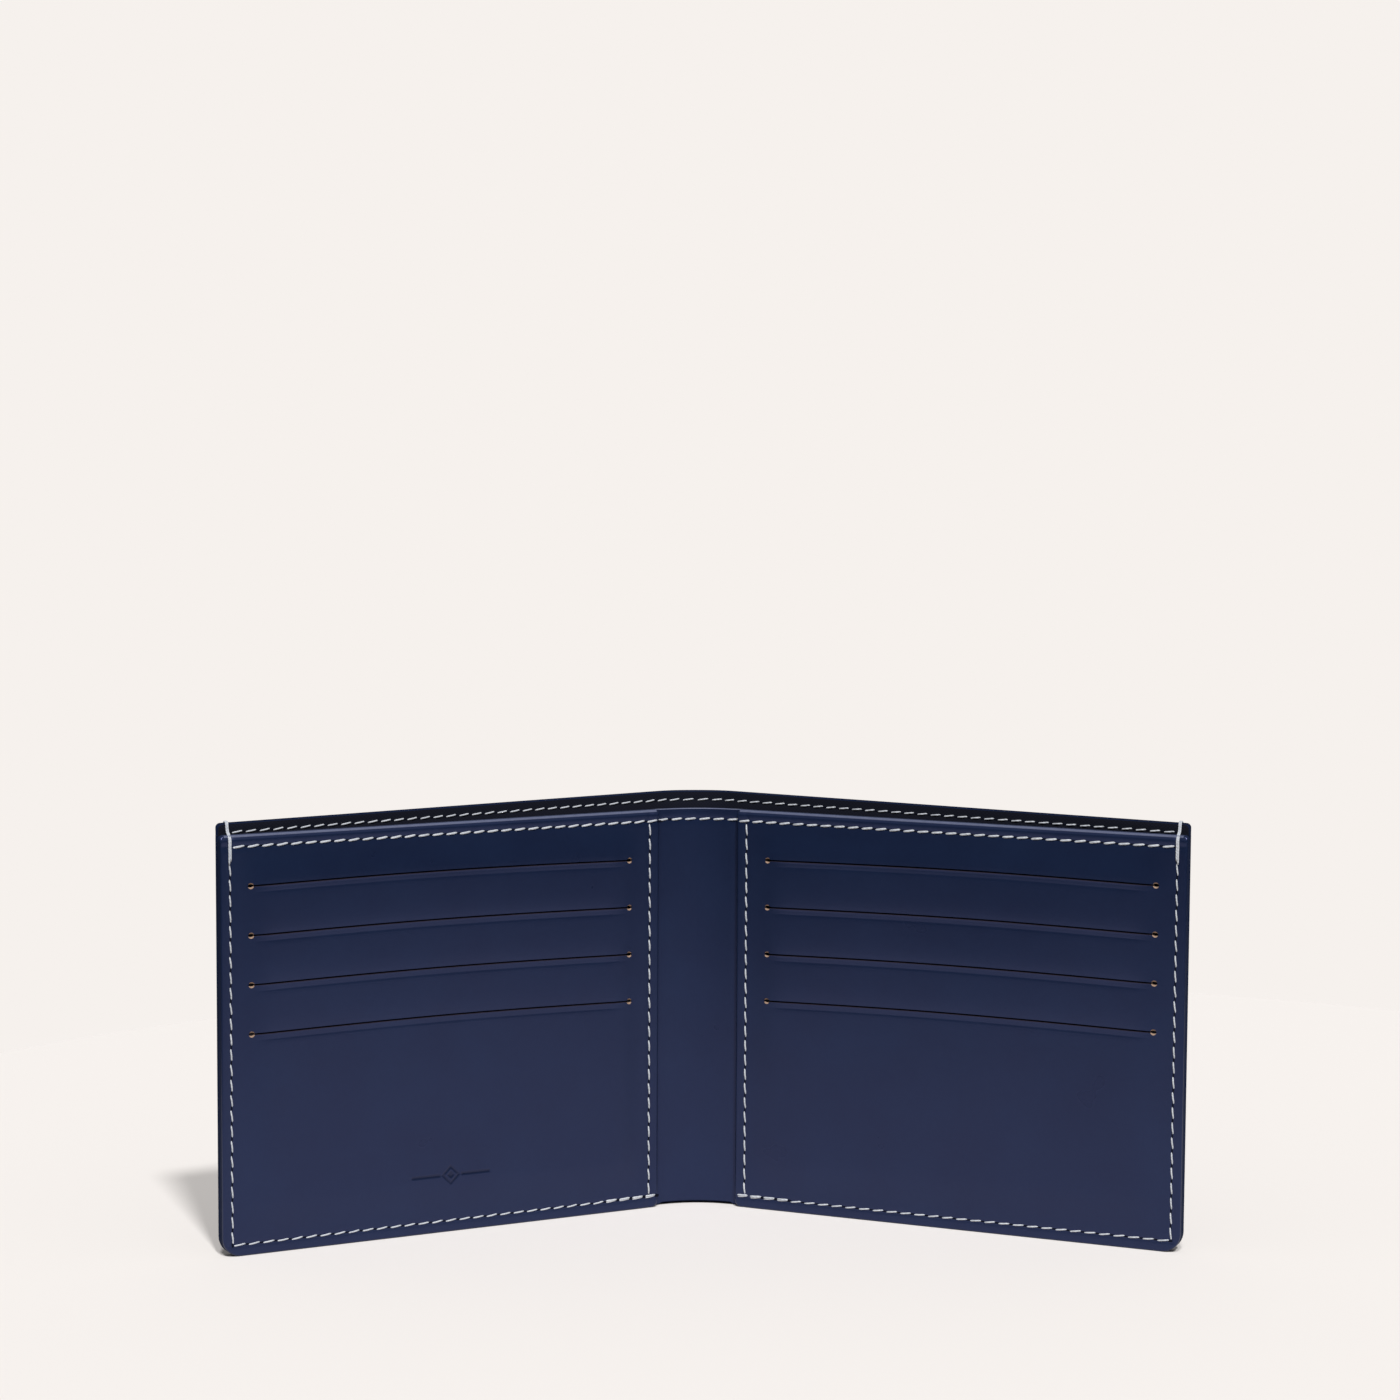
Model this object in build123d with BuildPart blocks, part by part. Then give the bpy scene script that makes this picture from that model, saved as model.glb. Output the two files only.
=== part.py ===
"""A bifold leather wallet, standing open on its bottom edge.

Frame: millimetres, +Z up, +X to the right, -Y towards the person who looks into the open wallet.
The origin is on the surface that the wallet stands on, at the centre of the wallet's box.

How it is built: a long lined cover forms the back wall of the note pocket, and a long divider is its
front wall. Both run across the spine. Each leaf carries one card panel with four slits, and one
lining pouch hangs behind each slit. Lock-stitched seams hold the layers together. The two leaves
turn about vertical creases beside the spine, so every layer that crosses the spine has one node for
each leaf and one for the spine. The right leaf is drawn, and the left leaf is its mirror image.
"""

import os
from math import cos, degrees, radians, sin, tan

from build123d import *

# Overall sizes
COVER_HEIGHT = 95.0
DIVIDER_HEIGHT = 92.5
LEAF_LENGTH = 107.0  # from the crease to the outer edge
SPINE_LENGTH = 17.5  # from crease to crease, along the bent strip
REST_ANGLE = radians(25.2)  # how far each leaf is turned from lying flat

# Layers, from the back of a leaf to its front
SHELL_THICKNESS = 0.8
STIFFENER_THICKNESS = 0.3
LINING_THICKNESS = 0.5
DIVIDER_THICKNESS = 0.7
POUCH_SPACE = 1.2  # hollow behind the face of a card panel, where its pouches hang
FACE_THICKNESS = 0.8
SEAM_CLEARANCE = 0.1  # between the divider and the cover's lining at the outer edge

# Note pocket: how far the cover stands behind the divider at the crease
NOTE_GAP_BOTTOM = 0.4
NOTE_GAP_TOP = 12.0

# Outline
BOTTOM_CORNER_RADIUS = 4.2
TOP_CORNER_RADIUS = 1.0
PANEL_CORNER_RADIUS = 1.5
PANEL_START = 1.2  # the card panel begins this far out from the crease
PANEL_MARGIN = 5.0  # solid border of a card panel around its pouch space
STIFFENER_MARGIN = 5.0
SPINE_RAISE = 0.6  # the divider's strip ends this far above the floor

# Card slits
SLIT_COUNT = 4
SLIT_TOP = 81.3
SLIT_PITCH = 10.83
SLIT_LENGTH = 91.2  # between the centres of the punched holes
SLIT_START = 9.0  # inner punched hole, from the crease
SLIT_WIDTH = 0.5
SLIT_HOLE_RADIUS = 0.75

# Pouches behind the slits
POUCH_SHEET = 0.1
POUCH_INSIDE = 0.05
POUCH_STEP = 0.29  # from one pouch to the next, front to back
POUCH_SIDE_MARGIN = 1.6  # the pouch is wider than its slit by this much at each end
POUCH_FRONT_DROP = 1.5  # the front sheet is glued this far below the slit
POUCH_BACK_RISE = 3.0  # the back sheet is glued this far above the slit
LOWEST_POUCH_FLOOR = 7.0

# Seams
THREAD_WIDTH = 0.55
THREAD_HEIGHT = 0.3
THREAD_LIFT = 0.04  # a straight thread stands this far off the twisted cover
BOTTOM_SEAM = 2.6  # above the bottom edge
OUTER_SEAM = 2.2  # in from the outer edge
INNER_SEAM = 2.4  # in from the card panel's inner edge
DIVIDER_SEAM = 2.5  # below the divider's top edge
COVER_SEAM = 1.9  # below the cover's top edge

# Room for the folding motion, along the spine strip from its middle
DIVIDER_SPINE_HALF = 3.8
DIVIDER_LEAF_START = 4.6
COVER_SPINE_HALF_BOTTOM = 7.2
COVER_SPINE_HALF_TOP = 3.2

# Worked out from the sizes above
HALF_DIVIDER = DIVIDER_THICKNESS / 2
COVER_THICKNESS = SHELL_THICKNESS + LINING_THICKNESS
PANEL_THICKNESS = POUCH_SPACE + FACE_THICKNESS
PANEL_FRONT = HALF_DIVIDER + PANEL_THICKNESS
SPINE_RADIUS = SPINE_LENGTH / (2 * REST_ANGLE)
CREASE_X = SPINE_RADIUS * sin(REST_ANGLE)
CREASE_FORWARD = SPINE_RADIUS * (1 - cos(REST_ANGLE))
FLARE = (NOTE_GAP_TOP - NOTE_GAP_BOTTOM) / COVER_HEIGHT  # how fast the cover leans back
SEAM_GAP = NOTE_GAP_BOTTOM + FLARE * (COVER_HEIGHT - COVER_SEAM + THREAD_WIDTH / 2)
FRONT_REACH = CREASE_FORWARD + LEAF_LENGTH * sin(REST_ANGLE) + PANEL_FRONT * cos(REST_ANGLE)
BACK_REACH = HALF_DIVIDER + SEAM_GAP + COVER_THICKNESS + THREAD_HEIGHT
SPINE_Y = (FRONT_REACH - BACK_REACH) / 2  # middle of the divider's strip
ARC_CENTRE_Y = SPINE_Y - SPINE_RADIUS

# Each leaf turns about one upright axis. It is the point about which the crease swings from where
# it stands at rest to where it lies when the spine is straight.
SWING_X = SPINE_LENGTH / 2 - CREASE_X
SWING_Y = CREASE_FORWARD
FOLD_X = CREASE_X + SWING_X / 2 - SWING_Y / (2 * tan(REST_ANGLE / 2))
FOLD_Y = SPINE_Y - SWING_Y / 2 + SWING_X / (2 * tan(REST_ANGLE / 2))

OUTWARD = Vector(cos(REST_ANGLE), -sin(REST_ANGLE), 0)
TO_FRONT = Vector(-sin(REST_ANGLE), -cos(REST_ANGLE), 0)
CREASE = Vector(CREASE_X, SPINE_Y - CREASE_FORWARD, 0)
# The right leaf's own plane: x runs outward from the crease, y runs up and z points to the front.
LEAF = Plane(origin=CREASE, x_dir=OUTWARD, z_dir=TO_FRONT)

CUTTER_DEPTH = 40.0  # enough to go through every layer


def leaf_outline(depth, start, height, inner_radius=0):
    """The outline of a leaf layer at a depth in front of the leaf's plane, with rounded corners."""
    with BuildSketch(LEAF.offset(depth)) as outline:
        with Locations((start, 0)):
            Rectangle(LEAF_LENGTH - start, height, align=(Align.MIN, Align.MIN))
        corners = outline.vertices().sort_by(Axis.X)
        bottom_inner = corners[:2].sort_by(Axis.Y)[0]
        bottom_outer, top_outer = corners[2:].sort_by(Axis.Y)
        fillet(bottom_outer, BOTTOM_CORNER_RADIUS)
        fillet(top_outer, TOP_CORNER_RADIUS)
        if inner_radius > 0:
            fillet(bottom_inner, inner_radius)
    return outline.sketch


def strip_point(along, depth):
    """A point on the bent strip: along is measured from its middle, depth behind its own middle."""
    angle = along / SPINE_RADIUS
    radius = SPINE_RADIUS + depth
    return (radius * sin(angle), ARC_CENTRE_Y + radius * cos(angle))


def strip_band(start, end, front, back, height=0):
    """Plan of a band that follows the bent strip, between two depths behind the strip's middle."""
    middle = (start + end) / 2
    corners = [strip_point(a, d) for d in (front, back) for a in (start, middle, end)]
    with BuildSketch(Plane.XY.offset(height)) as band:
        with BuildLine():
            ThreePointArc(*corners[:3])
            Line(corners[2], corners[5])
            ThreePointArc(*corners[:2:-1])
            Line(corners[3], corners[0])
        make_face()
    return band.sketch


def note_gap(height):
    """How far the cover stands behind the divider at the crease, at this height."""
    return NOTE_GAP_BOTTOM + FLARE * height


def cover_point(along, height, depth):
    """A point of the right cover, at a depth behind the face that looks into the note pocket."""
    inner = CREASE - TO_FRONT * HALF_DIVIDER + Vector(0, note_gap(height), 0)
    outer = CREASE + OUTWARD * LEAF_LENGTH - TO_FRONT * (HALF_DIVIDER + SEAM_CLEARANCE)
    place = inner + (outer - inner) * (along / LEAF_LENGTH) - TO_FRONT * depth
    return (place.X, place.Y)


def cover_plate(start, end, low, high, front, back):
    """A plate of the right cover between two heights. The cover twists a little as it rises."""
    with BuildPart() as plate:
        for height in (low, high):
            with BuildSketch(Plane.XY.offset(height)):
                with BuildLine():
                    Polyline(
                        cover_point(start, height, front),
                        cover_point(end, height, front),
                        cover_point(end, height, back),
                        cover_point(start, height, back),
                        close=True,
                    )
                make_face()
        loft(ruled=True)
    return plate.part


def cover_bar(start, end, low, high, front, back):
    """A short upright bar along the right cover. Its plan is the cover's at its middle height."""
    middle = (low + high) / 2
    with BuildPart() as bar:
        with BuildSketch(Plane.XY.offset(low)):
            with BuildLine():
                Polyline(
                    cover_point(start, middle, front),
                    cover_point(end, middle, front),
                    cover_point(end, middle, back),
                    cover_point(start, middle, back),
                    close=True,
                )
            make_face()
        extrude(amount=high - low)
    return bar.part


def rounded_cover_plate(front, back):
    """A full plate of the right cover, trimmed to the leaf's rounded outline."""
    with BuildPart() as plate:
        add(cover_plate(0, LEAF_LENGTH, 0, COVER_HEIGHT, front, back))
        outline = leaf_outline(-CUTTER_DEPTH / 2, -CUTTER_DEPTH, COVER_HEIGHT)
        extrude(outline, amount=CUTTER_DEPTH, mode=Mode.INTERSECT)
    return plate.part


def stiffener_plate():
    """The stiffener board, and the recess in the shell that it fills."""
    return cover_plate(
        STIFFENER_MARGIN,
        LEAF_LENGTH - STIFFENER_MARGIN,
        STIFFENER_MARGIN,
        COVER_HEIGHT - STIFFENER_MARGIN,
        LINING_THICKNESS,
        LINING_THICKNESS + STIFFENER_THICKNESS,
    )


def spine_plate(low, high, front, back):
    """A plate of the cover's spine between two heights. It leans back and narrows as it rises."""
    narrowing = (COVER_SPINE_HALF_BOTTOM - COVER_SPINE_HALF_TOP) / COVER_HEIGHT
    with BuildPart() as plate:
        for height in (low, high):
            width = 2 * (COVER_SPINE_HALF_BOTTOM - narrowing * height)
            behind = SPINE_Y + HALF_DIVIDER + note_gap(height) + front
            with BuildSketch(Plane.XY.offset(height)):
                with Locations((0, behind)):
                    Rectangle(width, back - front, align=(Align.CENTER, Align.MIN))
        loft(ruled=True)
    return plate.part


def leaf_bar(depth, x, z, length, height, thickness):
    """A flat bar parallel to the leaf, placed by its lower inner corner and its back face."""
    with BuildPart() as bar:
        with BuildSketch(LEAF.offset(depth)):
            with Locations((x, z)):
                Rectangle(length, height, align=(Align.MIN, Align.MIN))
        extrude(amount=thickness)
    return bar.part


def save(part, name):
    """Labels a finished piece and writes it as one node."""
    part.label = name
    export_step(part, f"parts/{name}.step")


def save_pair(part, name):
    """Writes a right-hand piece and its mirror image for the left leaf."""
    save(part, f"{name}_right")
    save(mirror(part, about=Plane.YZ), f"{name}_left")


os.makedirs("parts", exist_ok=True)

# Outer shell of the cover. On a leaf its inner face is let in for the stiffener.
with BuildPart() as cover_shell:
    add(rounded_cover_plate(LINING_THICKNESS, COVER_THICKNESS))
    add(stiffener_plate(), mode=Mode.SUBTRACT)
save_pair(cover_shell.part, "cover_shell")

# Stiffener board, sealed between the shell and the lining
save_pair(stiffener_plate(), "cover_stiffener")

# Lining of the cover, the back wall of the note pocket
save_pair(rounded_cover_plate(0, LINING_THICKNESS), "cover_lining")

# The cover's two layers at the spine
save(spine_plate(0, COVER_HEIGHT, LINING_THICKNESS, COVER_THICKNESS), "cover_shell_spine")
save(spine_plate(0, COVER_HEIGHT, 0, LINING_THICKNESS), "cover_lining_spine")

# Divider, the front wall of the note pocket
with BuildPart() as note_divider:
    extrude(leaf_outline(-HALF_DIVIDER, 0, DIVIDER_HEIGHT), amount=DIVIDER_THICKNESS)
    bend = strip_band(DIVIDER_LEAF_START, SPINE_LENGTH / 2, -HALF_DIVIDER, HALF_DIVIDER)
    extrude(bend, amount=DIVIDER_HEIGHT)
save_pair(note_divider.part, "note_divider")

with BuildPart() as note_divider_spine:
    strip = strip_band(
        -DIVIDER_SPINE_HALF, DIVIDER_SPINE_HALF, -HALF_DIVIDER, HALF_DIVIDER, SPINE_RAISE
    )
    extrude(strip, amount=DIVIDER_HEIGHT - SPINE_RAISE)
save(note_divider_spine.part, "note_divider_spine")

# Card panel: one face with four slits, hollow behind it for the pouches
slit_heights = [SLIT_TOP - SLIT_PITCH * i for i in range(SLIT_COUNT)]
slit_end = SLIT_START + SLIT_LENGTH
with BuildPart() as card_panel:
    outline = leaf_outline(HALF_DIVIDER, PANEL_START, DIVIDER_HEIGHT, PANEL_CORNER_RADIUS)
    extrude(outline, amount=PANEL_THICKNESS)
    add(
        leaf_bar(
            HALF_DIVIDER,
            PANEL_START + PANEL_MARGIN,
            PANEL_MARGIN,
            LEAF_LENGTH - PANEL_START - 2 * PANEL_MARGIN,
            DIVIDER_HEIGHT - 2 * PANEL_MARGIN,
            POUCH_SPACE,
        ),
        mode=Mode.SUBTRACT,
    )
    with BuildSketch(LEAF.offset(HALF_DIVIDER)) as openings:
        for slit in slit_heights:
            with Locations((SLIT_START + SLIT_LENGTH / 2, slit)):
                Rectangle(SLIT_LENGTH, SLIT_WIDTH)
            with Locations((SLIT_START, slit), (slit_end, slit)):
                Circle(SLIT_HOLE_RADIUS)
    extrude(amount=PANEL_THICKNESS, mode=Mode.SUBTRACT)
save_pair(card_panel.part, "card_panel")

# Lining pouches: a front and a back sheet that hang behind a slit and join at the bottom fold.
# The pouch of the lowest slit is next to the face, and each higher one hangs behind it.
face_back = HALF_DIVIDER + POUCH_SPACE
pouch_depth = 2 * POUCH_SHEET + POUCH_INSIDE
pouch_start = SLIT_START - POUCH_SIDE_MARGIN
pouch_length = SLIT_LENGTH + 2 * POUCH_SIDE_MARGIN
for number, slit in enumerate(slit_heights, start=1):
    back = face_back - POUCH_STEP * (SLIT_COUNT - number) - pouch_depth
    front = back + pouch_depth
    floor = LOWEST_POUCH_FLOOR + slit - slit_heights[-1]
    front_top = slit - POUCH_FRONT_DROP
    back_top = slit + POUCH_BACK_RISE
    sheets = [
        # back face, lower edge, height, thickness
        (back, floor, back_top - floor, POUCH_SHEET),
        (back, floor, POUCH_SHEET, pouch_depth),
        (front - POUCH_SHEET, floor, front_top - floor, POUCH_SHEET),
        (front - POUCH_SHEET, front_top - POUCH_SHEET, POUCH_SHEET, face_back - front + POUCH_SHEET),
        (back, back_top - POUCH_SHEET, POUCH_SHEET, face_back - back),
    ]
    with BuildPart() as card_pouch:
        for depth, low, height, thickness in sheets:
            add(leaf_bar(depth, pouch_start, low, pouch_length, height, thickness))
    save_pair(card_pouch.part, f"card_pouch_{number}")

# Edge seam, through every layer: up the outer edge and along the bottom, on both faces of the leaf
seam_x = LEAF_LENGTH - OUTER_SEAM - THREAD_WIDTH / 2
seam_z = BOTTOM_SEAM - THREAD_WIDTH / 2
seam_end = seam_x + THREAD_WIDTH
seam_rise = DIVIDER_HEIGHT - TOP_CORNER_RADIUS - seam_z
seam_back = COVER_THICKNESS + THREAD_HEIGHT
with BuildPart() as thread_edge:
    bottom_run = seam_end - PANEL_START
    add(leaf_bar(PANEL_FRONT, PANEL_START, seam_z, bottom_run, THREAD_WIDTH, THREAD_HEIGHT))
    add(leaf_bar(PANEL_FRONT, seam_x, seam_z, THREAD_WIDTH, seam_rise, THREAD_HEIGHT))
    back_top = COVER_HEIGHT - TOP_CORNER_RADIUS
    back_low = seam_z + THREAD_WIDTH
    add(cover_plate(PANEL_START, seam_end, seam_z, back_low, COVER_THICKNESS, seam_back))
    add(cover_plate(seam_x, seam_end, back_low, back_top, COVER_THICKNESS, seam_back))
save_pair(thread_edge.part, "thread_edge")

# Seam beside the spine, through the card panel and the divider only
inner_x = PANEL_START + INNER_SEAM - THREAD_WIDTH / 2
inner_z = BOTTOM_SEAM + THREAD_WIDTH
inner_run = DIVIDER_HEIGHT - DIVIDER_SEAM - THREAD_WIDTH - inner_z
with BuildPart() as thread_panel:
    for depth in (PANEL_FRONT, -HALF_DIVIDER - THREAD_HEIGHT):
        add(leaf_bar(depth, inner_x, inner_z, THREAD_WIDTH, inner_run, THREAD_HEIGHT))
save_pair(thread_panel.part, "thread_panel")

# Seam along the top of the divider
top_z = DIVIDER_HEIGHT - DIVIDER_SEAM - THREAD_WIDTH / 2
top_run = seam_x - THREAD_WIDTH - PANEL_START
top_thread = leaf_bar(PANEL_FRONT, PANEL_START, top_z, top_run, THREAD_WIDTH, THREAD_HEIGHT)
save_pair(top_thread, "thread_divider_top")

with BuildPart() as thread_divider_top_spine:
    front = -HALF_DIVIDER - THREAD_HEIGHT
    strip = strip_band(-DIVIDER_SPINE_HALF, DIVIDER_SPINE_HALF, front, -HALF_DIVIDER, top_z)
    extrude(strip, amount=THREAD_WIDTH)
save(thread_divider_top_spine.part, "thread_divider_top_spine")

# Seam along the top of the cover, seen on its lining and on its shell
cover_z = COVER_HEIGHT - COVER_SEAM - THREAD_WIDTH / 2
faces = ((-THREAD_HEIGHT, 0), (COVER_THICKNESS, COVER_THICKNESS + THREAD_HEIGHT))
with BuildPart() as thread_cover_top:
    for front, back in faces:
        lift = -THREAD_LIFT if front < 0 else THREAD_LIFT
        end = seam_x - THREAD_WIDTH
        top = cover_z + THREAD_WIDTH
        add(cover_bar(THREAD_WIDTH, end, cover_z, top, front + lift, back + lift))
save_pair(thread_cover_top.part, "thread_cover_top")

with BuildPart() as thread_cover_top_spine:
    for front, back in faces:
        add(spine_plate(cover_z, cover_z + THREAD_WIDTH, front, back))
save(thread_cover_top_spine.part, "thread_cover_top_spine")

print("leaf angle", degrees(REST_ANGLE), "spine y", SPINE_Y, "crease", CREASE_X, CREASE.Y)
print("fold axis", FOLD_X, FOLD_Y)
print("slit centres")
for slit in slit_heights:
    centre = CREASE + OUTWARD * (SLIT_START + SLIT_LENGTH / 2) + TO_FRONT * PANEL_FRONT
    print(centre.X, centre.Y, slit)
foot = CREASE + OUTWARD * 55 + TO_FRONT * (HALF_DIVIDER + PANEL_THICKNESS / 2)
print("point on the right card panel's bottom face", foot.X, foot.Y)
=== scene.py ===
import math

import bmesh
import bpy
import numpy as np
from mathutils import Matrix, Vector


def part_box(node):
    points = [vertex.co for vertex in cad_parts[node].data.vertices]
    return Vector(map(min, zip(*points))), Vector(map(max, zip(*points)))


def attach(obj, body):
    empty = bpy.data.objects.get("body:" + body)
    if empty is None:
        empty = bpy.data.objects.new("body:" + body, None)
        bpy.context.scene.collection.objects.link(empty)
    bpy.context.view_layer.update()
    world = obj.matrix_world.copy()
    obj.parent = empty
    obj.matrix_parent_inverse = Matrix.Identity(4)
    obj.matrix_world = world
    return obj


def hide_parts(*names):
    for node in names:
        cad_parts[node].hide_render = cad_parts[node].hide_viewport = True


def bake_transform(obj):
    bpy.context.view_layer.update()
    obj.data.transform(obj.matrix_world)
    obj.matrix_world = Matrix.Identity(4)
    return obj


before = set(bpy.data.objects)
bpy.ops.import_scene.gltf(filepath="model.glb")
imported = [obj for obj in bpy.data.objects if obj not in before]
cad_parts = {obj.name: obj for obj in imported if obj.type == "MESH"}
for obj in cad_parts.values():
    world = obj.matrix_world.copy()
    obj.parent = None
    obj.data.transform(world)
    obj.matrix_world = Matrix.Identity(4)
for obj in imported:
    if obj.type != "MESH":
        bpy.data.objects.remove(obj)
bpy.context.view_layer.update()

# A bifold wallet of navy calf leather, standing open on its bottom edge. The sections follow the
# wallet as it is put together, from the outer shell to the last seam. Each leaf is built on the
# right and mirrored to the left. Lengths are in millimetres until a mesh is made.

# ---------------------------------------------------------------------------------------------
# Outer shell of the cover: one piece of calf leather, 0.8 mm thick, from outer edge to outer
# edge. It is built as two halves that meet at the middle of the spine. It stands away from the
# divider towards the top of the spine.
SPINE_HALF = 8.75  # from the middle of the spine to the crease, along the leather
LEAF = 107.0  # from the crease to the outer edge
REACH = SPINE_HALF + LEAF
TURN = math.radians(25.2)  # how far a leaf stands turned from flat
BEND = SPINE_HALF / TURN  # radius of the bent spine
COVER_HEIGHT = 95.0
SHELL = 0.8
LINING = 0.5
DIVIDER_SKIN = 0.35  # half of the divider's thickness
SPINE_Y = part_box("note_divider_spine")[1][1] * 1000 - DIVIDER_SKIN
POCKET_FOOT, POCKET_TOP = 0.4, 12.0  # gap between divider and cover at the spine
COVER_SEAM = COVER_HEIGHT - 2.1
BOTTOM_SEAM = 2.6
OUTER_SEAM = REACH - 2.2
OUTER_CORNER = 4.2  # radius of the outer bottom corner
STIFFENER_MARGIN = 5.0
STIFFENER_RECESS = 0.32
GLUE = 0.02  # between the shell and the lining


def divider_surface(along, height, depth):
    """A point on the right half. Along runs from the spine's middle, and depth to the front."""
    turn = np.minimum(along, SPINE_HALF) / BEND
    out = np.maximum(along - SPINE_HALF, 0)
    x = (BEND - depth) * np.sin(turn) + out * math.cos(TURN)
    y = SPINE_Y - BEND + (BEND - depth) * np.cos(turn) - out * math.sin(TURN)
    return np.stack([x, y, height + 0 * x], -1)


def cover_surface(along, height, depth):
    """The same for the cover. Depth 0 is the face that looks into the note pocket."""
    gap = POCKET_FOOT + (POCKET_TOP - POCKET_FOOT) * height / COVER_HEIGHT
    crease = divider_surface(np.array(SPINE_HALF), np.array(0.0), -DIVIDER_SKIN)
    edge = divider_surface(np.array(REACH), np.array(0.0), -DIVIDER_SKIN - 0.1)
    start_y = crease[1] + gap
    slope = (edge[1] - start_y) / (edge[0] - crease[0])
    share = np.maximum(along - SPINE_HALF, 0) / LEAF
    t = np.minimum(along / SPINE_HALF, 1)
    middle_y = SPINE_Y + DIVIDER_SKIN + gap
    # A cubic joins the spine's middle, where it is level, to the slope of the leaf.
    bow = middle_y * (2 * t**3 - 3 * t**2 + 1) + start_y * (3 * t**2 - 2 * t**3)
    bow = bow + slope * crease[0] * (t**3 - t**2)
    x = crease[0] * t + (edge[0] - crease[0]) * share
    y = bow + (edge[1] - start_y) * share
    x, y = x - depth * np.sin(TURN * t), y - depth * np.cos(TURN * t)
    return np.stack([x, y, height + 0 * x], -1)


def steps(*runs):
    """Ascending positions from runs of (start, end, largest step), none closer than 0.04 mm."""
    found = []
    for start, end, size in runs:
        count = max(1, math.ceil((end - start) / size - 1e-6))
        found += [start + (end - start) * i / count for i in range(count + 1)]
    found = sorted(found)
    return [a for a, b in zip(found, found[1:] + [math.inf]) if b - a > 0.04]


def corner_rows(start, radius, up):
    """Heights that follow a rounded corner by turns of 9 degrees, so that it stays round."""
    arc = [radius * (1 - math.cos(math.radians(9 * i))) for i in range(11)]
    return [start + a for a in arc] if up else [start - a for a in arc[::-1]]


def rounding(height, low, high, low_radius, high_radius):
    """How far its rounded corners draw an upright edge in at each height."""
    under = np.clip(low + low_radius - height, 0, low_radius)
    over = np.clip(height - high + high_radius, 0, high_radius)
    drawn = low_radius - np.sqrt(low_radius**2 - under**2)
    return drawn + high_radius - np.sqrt(high_radius**2 - over**2)


def rim_ways(loop, placed, columns, rows, radii, open_inner):
    """The way outwards, along and up, at each point of a sheet's rim."""
    low, high = rows[0], rows[-1]
    ways = []
    for j, i in loop:
        a, h = placed[j, i], rows[j]
        upper = h >= (low + high) / 2
        if i == len(columns) - 1:
            centre = (columns[-1] - radii[upper], min(max(h, low + radii[0]), high - radii[1]))
        elif i == 0 and not open_inner:
            centre = (columns[0] + radii[2 + upper], min(max(h, low + radii[2]), high - radii[3]))
        elif i == 0 and 0 < j < len(rows) - 1:
            ways.append((0.0, 0.0))
            continue
        else:
            centre = (a, (low + high) / 2)
        away = np.array([a - centre[0], h - centre[1]])
        ways.append(tuple(away / max(np.linalg.norm(away), 1e-9)))
    return np.array(ways)


EDGE_TURNS = [math.radians(a) for a in (22.5, 45, 67.5, 90)]


def edge_profile(share, round_front, round_back):
    """(Offset, share of the thickness) of each ring round an edge, from the front to the back."""
    rounded = [(math.sin(turn), (1 - math.cos(turn)) * share) for turn in EDGE_TURNS]
    profile = rounded if round_front else [(1.0, 0.0)]
    tail = [(out, 1 - depth) for out, depth in rounded] if round_back else [(1.0, 1.0)]
    return profile + [ring for ring in tail[::-1] if ring != profile[-1]]


def place(name, data):
    """An object in the scene for a mesh, lamp or camera."""
    made = bpy.data.objects.new(name, data)
    bpy.context.scene.collection.objects.link(made)
    return made


def shaped(name, side, points, faces, kinds, materials):
    """A piece from points in millimetres, mirrored for the left leaf, with its faces outwards."""
    points = points / 1000
    if side == "left":
        points[:, 0] *= -1
        faces = [face[::-1] for face in faces]
    mesh = bpy.data.meshes.new(name)
    mesh.from_pydata(points.tolist(), [], [[int(v) for v in face] for face in faces])
    for material in materials:
        mesh.materials.append(material)
    mesh.polygons.foreach_set("material_index", np.array(kinds, np.int32))
    mesh.polygons.foreach_set("use_smooth", np.ones(len(faces), bool))
    mesh.update()
    shape = bmesh.new()
    shape.from_mesh(mesh)
    bmesh.ops.recalc_face_normals(shape, faces=shape.faces)
    shape.to_mesh(mesh)
    shape.free()
    return place(name, mesh)


CORNER_SPAN = 9.0  # how far in from a rounded corner the columns bend with it
FRONT, BACK, EDGE, SLIT_WALL, HOLE_WALL, CREST, TOP_CREST = range(7)


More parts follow.
